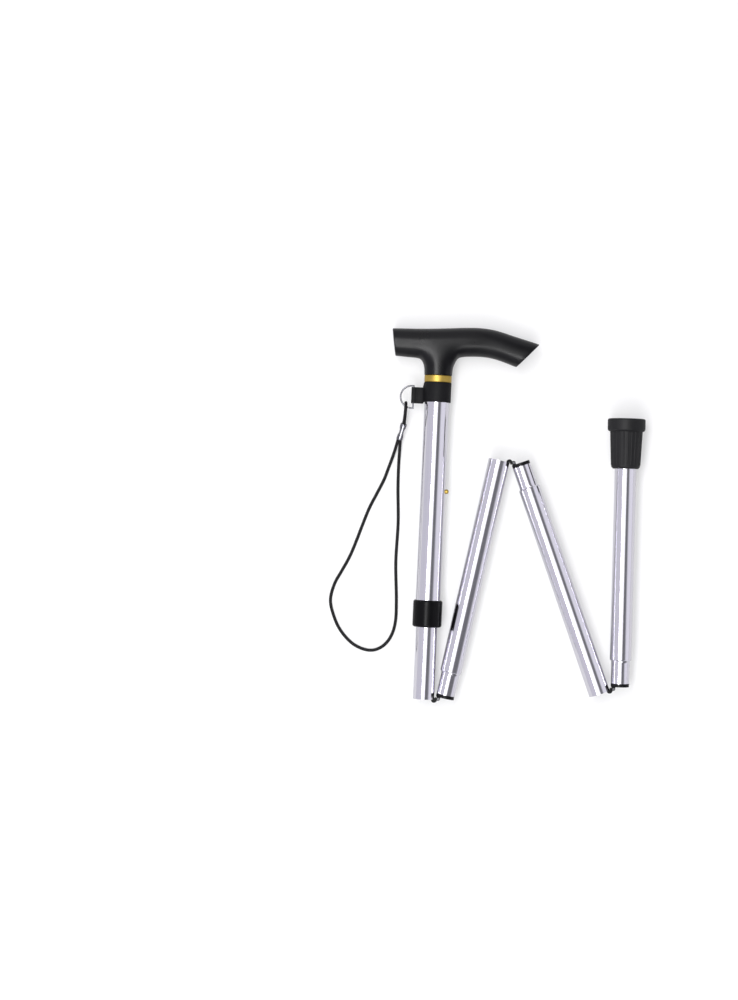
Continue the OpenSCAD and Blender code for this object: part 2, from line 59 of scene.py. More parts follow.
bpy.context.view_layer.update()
MM = 0.001
# Levels that a noise texture mostly keeps to
NOISE_LOW, NOISE_HIGH = 0.3, 0.7
# Radians that the wave texture turns in one unit, at a scale of 1
WAVE_TURN = 20.0
# Largest angle that is shaded as a curve, on machined and on moulded pieces, in degrees
CRISP, ROUNDED = 35.0, 60.0
# Least angle of an edge that is softened, in degrees
SHARP = 50.0
Pair = tuple[float, float]
Point = tuple[float, float, float]


class Body(Enum):
    """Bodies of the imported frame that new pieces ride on."""

    HANDLE = "handle_section"
    RING = "ring"
    LOWER = "lower_shaft"
    BUTTON = "button"


class Grain(Enum):
    """How the tool left a moulded surface."""

    SPARK = 0.22
    POLISHED = 0.04


# Shader helpers


def srgb(code: str) -> tuple[float, float, float, float]:
    """Turn an sRGB hex value into linear light.

    Args:
        code: six hex digits.

    Returns:
        Linear red, green and blue, and an alpha of 1.
    """
    parts = [int(code[i:i + 2], 16) / 255 for i in (0, 2, 4)]
    red, green, blue = (c / 12.92 if c <= 0.04045 else ((c + 0.055) / 1.055) ** 2.4 for c in parts)
    return red, green, blue, 1.0


def add_node(tree: NodeTree, kind: str, settings: dict[str | int, object] | None = None,
             links: dict[str | int, NodeSocket] | None = None) -> Node:
    """Add one shader node with its settings and links.

    Args:
        tree: the material's or world's nodes.
        kind: Blender's name for the node, after ShaderNode.
        settings: values by the name of a property or of an input socket.
        links: output sockets by the input socket that they feed.

    Returns:
        The new node.
    """
    node = tree.nodes.new(f"ShaderNode{kind}")
    for name, value in (settings or {}).items():
        if isinstance(name, str) and hasattr(node, name):
            setattr(node, name, value)
        else:
            node.inputs[name].default_value = value
    for name, source in (links or {}).items():
        tree.links.new(source, node.inputs[name])
    return node


@dataclass(frozen=True)
class Canvas:
    """What a finish draws with: a material's nodes, its shader, and its object and UV coordinates."""

    tree: NodeTree
    shader: Node
    place: NodeSocket
    unrolled: NodeSocket


# Finishes


@dataclass(frozen=True)
class Finish:
    """A plain finish, and the base of the others.

    Attributes:
        name: what the material is and how its surface was made.
        colour: sRGB hex of the surface.
        second: sRGB hex of its paler threads, lines or bloom; on webbing and braid, a painted sheen on the raised
            threads.
        roughness: how far the surface spreads a reflection.
        metallic: 1 for bare metal.
        gloss: the shader's specular level.
        marks: cloudy marks of handling to the metre.
        mark_detail: how ragged they are.
        swing: how far the roughness goes from its middle, as a share.
        depth_mm: depth of a raised pattern.
    """

    name: str
    colour: str
    second: str
    roughness: float = 0.5
    metallic: float = 0.0
    gloss: float = 0.5
    marks: float = 160.0
    mark_detail: float = 3.0
    swing: float = 0.15
    depth_mm: float = 0.2

    def make(self) -> Material:
        """Build the material, once for each name.

        Returns:
            The material, with its pattern drawn by detail().
        """
        found = bpy.data.materials.get(self.name)
        if found:
            return found
        material = bpy.data.materials.new(self.name)
        material.use_nodes = True
        tree = material.node_tree
        tree.nodes.clear()
        shader = add_node(tree, "BsdfPrincipled", {
            "Metallic": self.metallic, "Specular IOR Level": self.gloss})
        add_node(tree, "OutputMaterial", links={"Surface": shader.outputs["BSDF"]})
        coords = add_node(tree, "TexCoord").outputs
        self.detail(Canvas(tree, shader, coords["Object"], coords["UV"]))
        return material

    def detail(self, on: Canvas) -> None:
        """Draw the pattern of the surface: here, the faint cloudy marks of handling.

        Args:
            on: what to draw with.
        """
        marks = self.clouds(on)
        self.paint(on, marks)
        self.spread(on, marks)

    def clouds(self, on: Canvas) -> NodeSocket:
        """Make the pattern of the cloudy marks."""
        return add_node(on.tree, "TexNoise", {"Scale": self.marks, "Detail": self.mark_detail},
                        {"Vector": on.place}).outputs["Fac"]

    def paint(self, on: Canvas, share: NodeSocket) -> None:
        """Colour the surface from its first colour to its second, by the share that a pattern gives."""
        tint = add_node(on.tree, "Mix", {
            "data_type": "RGBA", 6: srgb(self.colour), 7: srgb(self.second)}, {0: share})
        on.tree.links.new(tint.outputs[2], on.shader.inputs["Base Color"])

    def spread(self, on: Canvas, share: NodeSocket) -> None:
        """Vary the roughness with a pattern."""
        rough = add_node(on.tree, "MapRange", {
            "From Min": NOISE_LOW, "From Max": NOISE_HIGH, "To Min": self.roughness * (1 - self.swing),
            "To Max": self.roughness * (1 + self.swing)}, {"Value": share})
        on.tree.links.new(rough.outputs["Result"], on.shader.inputs["Roughness"])

    def emboss(self, on: Canvas, height: NodeSocket, strength: float) -> None:
        """Raise a pattern on the surface, more or less strongly."""
        bump = add_node(on.tree, "Bump", {"Strength": strength, "Distance": self.depth_mm * MM},
                        {"Height": height})
        on.tree.links.new(bump.outputs["Normal"], on.shader.inputs["Normal"])


@dataclass(frozen=True)
class DrawnAluminium(Finish):
    """Bright anodised tube: cold drawn, so faint lines run along it and streak its reflections.

    Attributes:
        lean: turn of the tube's axis from +Y, in degrees.
        line_mm: spacing of the lines; real ones are finer, too fine to show.
        run_mm: length of one line.
        clouded: share of the cloudy marks in the roughness.
    """

    marks: float = 140.0
    mark_detail: float = 5.0
    swing: float = 0.3
    lean: float = 0.0
    line_mm: float = 1.2
    run_mm: float = 110.0
    clouded: float = 0.35
    bump: float = 0.02

    def detail(self, on: Canvas) -> None:
        """Draw the lengthwise lines over cloudy marks.

        Args:
            on: what to draw with.
        """
        turn = add_node(on.tree, "Mapping", {"Rotation": (0.0, 0.0, -math.radians(self.lean))},
                        {"Vector": on.place})
        fine, long = 1 / (self.line_mm * MM), 1 / (self.run_mm * MM)
        along = add_node(on.tree, "Mapping", {"Scale": (fine, long, fine)},
                         {"Vector": turn.outputs["Vector"]})
        lines = add_node(on.tree, "TexNoise", {"Scale": 1.0, "Detail": 3.0, "Roughness": 0.6},
                         {"Vector": along.outputs["Vector"]}).outputs["Fac"]
        both = add_node(on.tree, "Mix", {0: self.clouded}, {2: lines, 3: self.clouds(on)})
        self.paint(on, lines)
        self.spread(on, both.outputs[0])
        self.emboss(on, lines, self.bump)


@dataclass(frozen=True)
class MouldedPolymer(Finish):
    """Injection-moulded plastic or rubber: the tool's grain breaks up its shine.

    Attributes:
        grain: how the tool was finished.
        grain_mm: width of one grain.
    """

    marks: float = 55.0
    mark_detail: float = 4.0
    grain: Grain = Grain.SPARK
    grain_mm: float = 0.7

    def detail(self, on: Canvas) -> None:
        """Draw the grain, and the paler bloom that handling leaves.

        Args:
            on: what to draw with.
        """
        pits = add_node(on.tree, "TexNoise", {"Scale": 1 / (self.grain_mm * MM), "Detail": 2.0},
                        {"Vector": on.place})
        super().detail(on)
        self.emboss(on, pits.outputs["Fac"], self.grain.value)


@dataclass(frozen=True)
class WovenNylon(Finish):
    """Flat nylon webbing: ribs of glossy filaments across it.

    Attributes:
        thread_mm: spacing of the threads.
    """

    swing: float = 0.1
    depth_mm: float = 0.3
    thread_mm: float = 0.9
    bump: float = 0.5

    def detail(self, on: Canvas) -> None:
        """Draw warp and weft as two crossed waves, and paint a paler grey sheen on the raised weave.

        Args:
            on: what to draw with.
        """
        scale = math.tau / (self.thread_mm * MM) / WAVE_TURN
        warp, weft = (add_node(on.tree, "TexWave", {
            "bands_direction": way, "Scale": scale, "Distortion": 0.5, "Detail": 1.0},
            {"Vector": on.place}).outputs["Fac"] for way in ("Y", "DIAGONAL"))
        cloth = add_node(on.tree, "Math", {"operation": "MULTIPLY"}, {0: warp, 1: weft}).outputs[0]
        # Painted highlight: the raised weave is coloured paler, as a sheen
        self.paint(on, cloth)
        self.spread(on, cloth)
        self.emboss(on, cloth, self.bump)


@dataclass(frozen=True)
class BraidedNylon(Finish):
    """Round braided cord: strands that wind both ways and cross, drawn on its own UV map.

    Attributes:
        turns: turns of one strand along the whole cord.
        strands: strands that wind each way.
    """

    swing: float = 0.1
    depth_mm: float = 0.25
    turns: float = 40.0
    strands: int = 4
    bump: float = 0.6

    def detail(self, on: Canvas) -> None:
        """Draw the two sets of strands as waves along and round the cord, and paint paler grey glints on the raised
        strands.

        Args:
            on: what to draw with.
        """
        sets = []
        for way in (1, -1):
            run = add_node(on.tree, "VectorMath", {
                "operation": "DOT_PRODUCT",
                1: (math.tau * self.turns * self.strands, way * math.tau * self.strands, 0.0)},
                {0: on.unrolled})
            wave = add_node(on.tree, "Math", {"operation": "SINE"}, {0: run.outputs["Value"]})
            sets.append(wave.outputs[0])
        braid = add_node(on.tree, "Math", {"operation": "MAXIMUM"}, {0: sets[0], 1: sets[1]})
        height = add_node(on.tree, "MapRange", {"From Min": -1.0}, {"Value": braid.outputs[0]})
        # Painted highlight: the raised strands are coloured paler, as glints
        self.paint(on, height.outputs["Result"])
        self.spread(on, height.outputs["Result"])
        self.emboss(on, height.outputs["Result"], self.bump)


# Spark-eroded ABS: satin black, a soft highlight over fine grain
HANDLE_PLASTIC = MouldedPolymer("abs_moulded_satin", "060608", "0D0D10", 0.31, gloss=0.27)
# Polished ABS: deep black with sharp highlights
COLLAR_PLASTIC = MouldedPolymer("abs_moulded_gloss", "070708", "0E0E10", 0.24, gloss=0.1, grain=Grain.POLISHED)
# Moulded nylon: black with a low sheen
CAP_PLASTIC = MouldedPolymer("nylon_moulded_black", "080809", "101012", 0.36, gloss=0.16, grain=Grain.POLISHED)
# Undyed inner mouldings: matt grey
HIDDEN_NYLON = MouldedPolymer("nylon_moulded_grey", "3A3A3D", "48484B", 0.5, gloss=0.4)
# Moulded rubber: matt black, dusty grey on the grain
FOOT_RUBBER = MouldedPolymer("rubber_moulded_black", "131314", "1F1F21", 0.55, gloss=0.24, grain_mm=0.9)
# Rubber strap: matt black
STRAP_RUBBER = MouldedPolymer("rubber_strap_black", "09090A", "131315", 0.5, gloss=0.18)
# Polished brass: warm, bright, slightly cloudy
BRASS = Finish("brass_polished", "BC9E48", "C8AC5C", 0.46, 1.0)
# Chromed wire: mirror bright
CHROME = Finish("steel_chromed", "747479", "88888D", 0.12, 1.0)
# Bright zinc-plated steel: pale, slightly blurred
STEEL = Finish("steel_bright", "B9B9BE", "D2D2D6", 0.26, 1.0)
# Blackened steel: dark, with a dull shine
RIVET_STEEL = Finish("steel_blackened", "58585C", "78787C", 0.34, 1.0)
# Ribbed nylon webbing: black, with a grey sheen painted on its ribs as a highlight
WEBBING = WovenNylon("nylon_webbing_black", "08080A", "18181B", 0.6, gloss=0.18)
# Twisted thread: black, a little paler than the webbing
THREAD = Finish("polyester_thread_black", "131315", "222226", 0.6, gloss=0.2)


# Modelling helpers


def pick(obj: Object) -> None:
    """Leave edit mode, select one object and make it active.

    Args:
        obj: the object.
    """
    if bpy.context.object and bpy.context.object.mode != "OBJECT":
        bpy.ops.object.mode_set(mode="OBJECT")
    bpy.ops.object.select_all(action="DESELECT")
    obj.select_set(True)
    bpy.context.view_layer.objects.active = obj


def edit(obj: Object) -> None:
    """Open a piece in edit mode with all of it selected.

    Args:
        obj: the piece.
    """
    pick(obj)
    bpy.ops.object.mode_set(mode="EDIT")
    bpy.ops.mesh.select_all(action="SELECT")


def settle(obj: Object, matrix: Matrix | None = None) -> None:
    """Move a piece to its place and put that place into its mesh.

    Args:
        obj: the piece.
        matrix: where it goes, or nothing if it is there already.
    """
    pick(obj)
    if matrix is not None:
        obj.matrix_world = matrix @ obj.matrix_world
    bpy.ops.object.transform_apply(location=True, rotation=True, scale=True)


def face_out(obj: Object) -> None:
    """Turn all faces of a closed piece outwards.

    Args:
        obj: the piece.
    """
    edit(obj)
    bpy.ops.mesh.normals_make_consistent(inside=False)
    bpy.ops.object.mode_set(mode="OBJECT")


def join(name: str, pieces: Sequence[Object]) -> Object:
    """Join pieces of one material into one object.

    Args:
        name: the object's name.
        pieces: what it is made of.

    Returns:
        The object.
    """
    pick(pieces[0])
    for piece in pieces:
        piece.select_set(True)
    bpy.ops.object.join()
    pieces[0].name = name
    return pieces[0]


def apply_modifier(obj: Object, kind: str, **settings: object) -> None:
    """Add a modifier and apply it.

    Args:
        obj: the piece.
        kind: Blender's name for the modifier.
        settings: its properties.
    """
    pick(obj)
    modifier = obj.modifiers.new(kind.lower(), kind)
    for name, value in settings.items():
        setattr(modifier, name, value)
    bpy.ops.object.modifier_apply(modifier=modifier.name)


def soften(obj: Object, width: float) -> None:
    """Bevel the sharp edges of a piece, by a width in millimetres."""
    apply_modifier(obj, "BEVEL", width=width * MM, segments=2, limit_method="ANGLE",
                   angle_limit=math.radians(SHARP))


def extrude(x: float, y: float, z: float) -> None:
    """Extrude what is selected by a step in millimetres."""
    bpy.ops.mesh.extrude_region_move(TRANSFORM_OT_translate={"value": (x * MM, y * MM, z * MM)})


def weld(gap: float) -> None:
    """Select all of the piece in edit mode and merge points that are nearer than a gap in millimetres."""
    bpy.ops.mesh.select_all(action="SELECT")
    bpy.ops.mesh.remove_doubles(threshold=gap * MM)


def select_where(obj: Object, test: Callable[[Vector], bool], kind: str = "VERT") -> None:
    """Select vertices or faces in edit mode by where they are.

    Args:
        obj: the piece, in edit mode.
        test: says whether a place is wanted.
        kind: VERT or FACE.
    """
    bpy.ops.mesh.select_mode(type=kind)
    bpy.ops.mesh.select_all(action="DESELECT")
    bpy.ops.object.mode_set(mode="OBJECT")
    spots, middle = (obj.data.vertices, "co") if kind == "VERT" else (obj.data.polygons, "center")
    for spot in spots:
        spot.select = test(getattr(spot, middle))
    bpy.ops.object.mode_set(mode="EDIT")


def selected_box(obj: Object) -> tuple[Vector, Vector]:
    """Measure what is selected in edit mode.

    Args:
        obj: the piece, in edit mode.

    Returns:
        Its lowest and highest corners.
    """
    bpy.ops.object.mode_set(mode="OBJECT")
    spots = [v.co.copy() for v in obj.data.vertices if v.select]
    bpy.ops.object.mode_set(mode="EDIT")
    low, high = (Vector([end(p[k] for p in spots) for k in range(3)]) for end in (min, max))
    return low, high


def turn_profile(profile: Sequence[Pair], sides: int) -> Object:
    """Turn a closed solid round Z, as on a lathe.

    Args:
        profile: radius and height of each step in millimetres, from the bottom up.
        sides: faces round it.

    Returns:
        The solid.
    """
    radius, height = profile[0]
    bpy.ops.mesh.primitive_circle_add(
        vertices=sides, radius=radius * MM, fill_type="NGON", location=(0, 0, height * MM))
    obj = bpy.context.object
    settle(obj)
    edit(obj)
    for (r0, h0), (r1, h1) in zip(profile, profile[1:]):
        extrude(0, 0, h1 - h0)
        bpy.ops.transform.resize(value=(r1 / r0, r1 / r0, 1), center_override=(0, 0, h1 * MM))
    face_out(obj)
    return obj


def dress(obj: Object, finish: Finish, smooth: float = CRISP) -> None:
    """Give a new piece its finish and smooth shading.

    Args:
        obj: the piece.
        finish: what it is made of.
        smooth: largest angle that is shaded as a curve, in degrees.
    """
    obj.data.materials.clear()
    obj.data.materials.append(finish.make())
    pick(obj)
    bpy.ops.object.shade_smooth_by_angle(angle=math.radians(smooth))
    LOG.info("made %s: %s, %d faces", obj.name, finish.name, len(obj.data.polygons))


def dress_nodes(finish: Finish, *nodes: str) -> None:
    """Give CAD nodes their finish.

    Args:
        finish: what they are made of.
        nodes: their names.
    """
    for node in nodes:
        obj = frame["nodes"][node]
        if not obj.material_slots:
            obj.data.materials.append(None)
        for slot in obj.material_slots:
            slot.material = finish.make()
        LOG.info("kept %s: %s", node, finish.name)


def catmull(points: Sequence[Point], steps: int) -> list[Vector]:
    """Run a smooth curve through points.

    Args:
        points: the points.
        steps: steps between two of them.

    Returns:
        The points of the curve, ends included.
    """
    route = [Vector(p) for p in points]
    ends = [route[0], *route, route[-1]]
    curve = []
    for a, b, c, d in zip(ends, ends[1:], ends[2:], ends[3:]):
        for k in range(steps):
            t = k / steps
            curve.append(0.5 * (2 * b + (c - a) * t + (2 * a - 5 * b + 4 * c - d) * t * t
                                + (3 * b - a - 3 * c + d) * t ** 3))
    return [*curve, route[-1]]


@dataclass(frozen=True)
class Place:
    """Frame of one tube: a point on its axis, and its +Y, in millimetres.

    Attributes:
        origin: where the tube's own frame starts.
        along: its +Y.
    """

    origin: Vector
    along: Vector

    @property
    def across(self) -> Vector:
        """The tube's +X."""
        return Vector((self.along.y, -self.along.x, 0.0))

    def at(self, x: float, y: float, z: float = 0.0) -> Vector:
        """Point of the tube's frame, in metres in the row frame."""
        return (self.origin + x * self.across + y * self.along + Vector((0, 0, z))) * MM

    def matrix(self, side: int = 1) -> Matrix:
        """Matrix that lays a piece modelled in the tube's frame, in metres, in the row frame.

        Args:
            side: -1 mirrors the piece left to right.

        Returns:
            The matrix.
        """
        turn = Matrix((self.across * side, self.along, Vector((0, 0, 1)))).transposed().to_4x4()
        return Matrix.Translation(self.origin * MM) @ turn


def joint(name: str) -> dict:
    """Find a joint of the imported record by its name."""
    return next(j for j in frame["joints"] if j["name"] == name)


# Sub-assemblies


@dataclass
class Handle:
    """T handle, seen from its side, in millimetres from the axis of the tube at the trim ring.

    Attributes:
        at_y: the trim ring, from the mouth of the tube.
        rows: stations along the handle: X, underside, top and half thickness.
        opening: stations between which the neck leaves the arm.
        patch: height below which it does, and half thickness.
        neck: rings of the neck: height, left, right and half thickness.
        swell: how much larger the cage is than the rounded surface.
        neck_swell: the same for the neck, whose cage has more sides.
    """

    at_y: float = 288.0
    sides: int = 12
    swell: float = 1.047
    neck_swell: float = 1.026
    edge: float = 1.0
    cut_left: tuple[Pair, Pair] = ((-42.6, 39.7), (-39.0, 15.8))
    cut_right: tuple[Pair, Pair] = ((69.4, 10.5), (88.5, 30.7))
    rows: tuple[tuple[float, float, float, float], ...] = (
        (-54, 15.6, 40.1, 12.4), (-44, 15.7, 40.2, 12.6), (-34, 15.6, 40.4, 12.9), (-26, 15.0, 40.6, 13.2),
        (-17, 14.8, 40.8, 13.6), (-6.3, 16.0, 41.4, 14), (6.3, 17.0, 42.2, 14), (17, 17.2, 43.1, 14),
        (27, 17.9, 43.7, 13.9), (35, 18.3, 43.9, 13.7), (44, 17.9, 43.3, 13.4), (53, 15.9, 41.6, 13.1),
        (62, 12.9, 38.9, 12.8), (72, 9.3, 36.1, 12.5), (84, 4.7, 32.9, 12.2), (98, -0.9, 28.8, 12))
    opening: tuple[int, int] = (4, 7)
    patch: Pair = (24.0, 13.6)
    neck: tuple[tuple[float, float, float, float], ...] = (
        (12.2, -14.4, 14.6, 13.8), (8.0, -12.4, 12.5, 13.1), (1.2, -12.2, 12.2, 12.2), (0, -12.2, 12.2, 12.2))

    def build(self, place: Place) -> None:
        """Model the handle as one cage, and round it by subdivision.

        Args:
            place: frame of the upper tube.
        """
        bpy.ops.mesh.primitive_circle_add(vertices=self.sides, radius=1.0, rotation=(0, math.pi / 2, 0))
        obj = bpy.context.object
        obj.name = "handle_grip"
        settle(obj)
        edit(obj)
        bpy.ops.transform.rotate(value=math.pi / self.sides, orient_axis="X", center_override=(0, 0, 0))
        x, low, high, half = self.rows[0]
        size = self.swell * MM
        bpy.ops.transform.resize(value=(1, (high - low) / 2 * size, half * size), center_override=(0, 0, 0))
        bpy.ops.transform.translate(value=(x * MM, (low + high) / 2 * MM, 0))
        for (x0, low0, high0, half0), (x1, low1, high1, half1) in zip(self.rows, self.rows[1:]):
            middle = (low1 + high1) / 2
            extrude(x1 - x0, middle - (low0 + high0) / 2, 0)
            bpy.ops.transform.resize(value=(1, (high1 - low1) / (high0 - low0), half1 / half0),
                                     center_override=(x1 * MM, middle * MM, 0))
        bpy.ops.mesh.select_mode(type="EDGE")
        self._cut(self.cut_left, -1)
        self._cut(self.cut_right, 1)
        self._draw_neck(obj)
        face_out(obj)
        apply_modifier(obj, "SUBSURF", levels=3, render_levels=3)
        settle(obj, place.matrix() @ Matrix.Translation((0, self.at_y * MM, 0)))
        self.dress(obj)

    def dress(self, obj: Object) -> None:
        """Finish the handle and hang it on its body.

        Args:
            obj: the handle.
        """
        dress(obj, HANDLE_PLASTIC, ROUNDED)
        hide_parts("handle")
        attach(obj, Body.HANDLE.value)

    def _cut(self, line: tuple[Pair, Pair], way: int) -> None:
        """Cut one end of the arm off square to its side, and soften the edge of the cut.

        Args:
            line: two points of the cut, seen from the side.
            way: -1 for the left end and 1 for the right one.
        """
        (ax, ay), (bx, by) = line
        normal = Vector((abs(by - ay), (ax - bx) * (1 if by > ay else -1), 0)).normalized() * way
        bpy.ops.mesh.select_all(action="SELECT")
        bpy.ops.mesh.bisect(plane_co=(ax * MM, ay * MM, 0), plane_no=normal, use_fill=True, clear_outer=True)
        bpy.ops.mesh.bevel(offset=self.edge * MM, segments=2, affect="EDGES")

    def _draw_neck(self, obj: Object) -> None:
        """Draw the neck down out of the underside of the arm, to a round end on the trim ring.

        Args:
            obj: the handle, in edit mode.
        """
        left, right = (self.rows[k][0] * MM for k in self.opening)
        top, half = (size * MM for size in self.patch)
        select_where(obj, lambda p: left < p.x < right and p.y < top and abs(p.z) < half, "FACE")
        bpy.ops.mesh.delete(type="FACE")
        bpy.ops.mesh.select_mode(type="EDGE")
        bpy.ops.mesh.select_all(action="DESELECT")
        bpy.ops.mesh.select_non_manifold()
        for low, x0, x1, half in self.neck:
            bpy.ops.mesh.extrude_region_move()
            bpy.ops.transform.resize(value=(1, 0, 1))
            bpy.ops.transform.tosphere(value=1.0)
            a, b = selected_box(obj)
            wide, deep = (x1 - x0) * self.neck_swell * MM, 2 * half * self.neck_swell * MM
            bpy.ops.transform.resize(value=(wide / (b.x - a.x), 1, deep / (b.z - a.z)), center_override=(a + b) / 2)
            bpy.ops.transform.translate(
                value=((x0 + x1) / 2 * MM - (a.x + b.x) / 2, low * MM - a.y, -(a.z + b.z) / 2))
        bpy.ops.mesh.edge_face_add()
        bpy.ops.mesh.select_mode(type="FACE")
        bpy.ops.mesh.inset(thickness=self.edge * MM)


@dataclass
class StrapBand:
    """Webbing band sewn round the upper tube, with a tab that holds the D ring, in millimetres.

    Attributes:
        round_r: middle of the band's thickness, from the tube's axis.
        meets: where the band turns into the tab, in degrees.
        tab_from: X past which the strip is narrow.
        pitch: from one stitch to the next, in stitches.
        stitch_end: rounded end of a stitch: way out and way back from the tip, in radii.
        tab: half of the tab's path, from the band to the far side of the ring's bar: X and Z.
    """

    middle: float = 272.8
    wide: float = 17.6
    thick: float = 1.1
    edge: float = 0.2
    round_r: float = 11.65
    meets: int = 160
    turn_step: int = 8
    tab_from: float = -12.2
    tab_wide: float = 14.4
    tab_drop: float = 3.3
    stitch: float = 1.9
    pitch: float = 1.35
    stitch_high: float = 0.62
    margin: float = 1.5
    stitch_r: float = 0.28
    stitch_sides: int = 8
    stitch_end: tuple[Pair, ...] = ((0.4, 0), (0.85, 0.4), (1, 1))
    stitch_rows: tuple[float, ...] = (-14.6, -18.4)
    tab: tuple[Pair, ...] = (
        (-11.75, 2.3), (-12.9, 1.15), (-14.4, 0.68), (-16.5, 0.6), (-18.6, 0.72), (-20.2, 1.15), (-21.2, 1.4),
        (-22.2, 1.0))
    tip: Pair = (-22.6, 0.0)

    def build(self, place: Place) -> None:
        """Fold the band from one strip, and sew its tab.

        Args:
            place: frame of the upper tube.
        """
        turns = [math.radians(a) for a in range(-self.meets, self.meets + 1, self.turn_step)]
        path = [(self.round_r * math.cos(a), self.round_r * math.sin(a)) for a in turns]
        back = [(x, -z) for x, z in reversed(self.tab)]
        path += [*self.tab, self.tip, *back, path[0]]
        band = self._fold(path)
        settle(band, place.matrix())
        dress(band, WEBBING)
        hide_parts("strap_band")
        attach(band, Body.HANDLE.value)
        seam = self._sew()
        settle(seam, place.matrix())
        dress(seam, THREAD, ROUNDED)
        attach(seam, Body.HANDLE.value)

    def _fold(self, path: Sequence[Pair]) -> Object:
        """Extrude an edge along the band's closed path, narrow the tab, and give the strip its thickness.

        Args:
            path: X and Z of its points.

        Returns:
            The band.
        """
        x, z = path[0]
        half = self.wide / 2
        bpy.ops.mesh.primitive_plane_add(
            size=self.wide * MM, location=((x + half) * MM, self.middle * MM, z * MM))
        obj = bpy.context.object
        obj.name = "strap_webbing"
        settle(obj)
        edit(obj)
        select_where(obj, lambda p: p.x > (x + half) * MM)
        bpy.ops.mesh.delete(type="VERT")
        bpy.ops.mesh.select_mode(type="EDGE")
        bpy.ops.mesh.select_all(action="SELECT")
        for (ax, az), (bx, bz) in zip(path, path[1:]):
            extrude(bx - ax, 0, bz - az)
        weld(0.01)
        select_where(obj, lambda p: p.x < self.tab_from * MM)
        bpy.ops.transform.resize(
            value=(1, self.tab_wide / self.wide, 1), center_override=(0, self.middle * MM, 0))
        bpy.ops.transform.translate(value=(0, -self.tab_drop * MM, 0))
        face_out(obj)
        apply_modifier(obj, "SOLIDIFY", thickness=self.thick * MM, offset=0.0)
        soften(obj, self.edge)
        return obj

    def _sew(self) -> Object:
        """Lay two rows of stitches across both faces of the tab.

        Returns:
            The stitches, as one piece.
        """
        middle, pitch = self.middle - self.tab_drop, self.stitch * self.pitch
        high = self.stitch_high + self.thick / 2
        r, half = self.stitch_r, self.stitch / 2
        end = [(r * out, half - r * back) for out, back in self.stitch_end]
        profile = [*((out, -y) for out, y in end), *reversed(end)]
        count = int((self.tab_wide - self.margin) / pitch)
        made = []
        for x, k, side in product(self.stitch_rows, range(count), (1, -1)):
            y = middle + (k - (count - 1) / 2) * pitch
            made.append(turn_profile(profile, self.stitch_sides))
            settle(made[-1], Matrix.Translation((x * MM, y * MM, side * high * MM))
                   @ Matrix.Rotation(-math.pi / 2, 4, "X"))
        return join("strap_stitches", made)


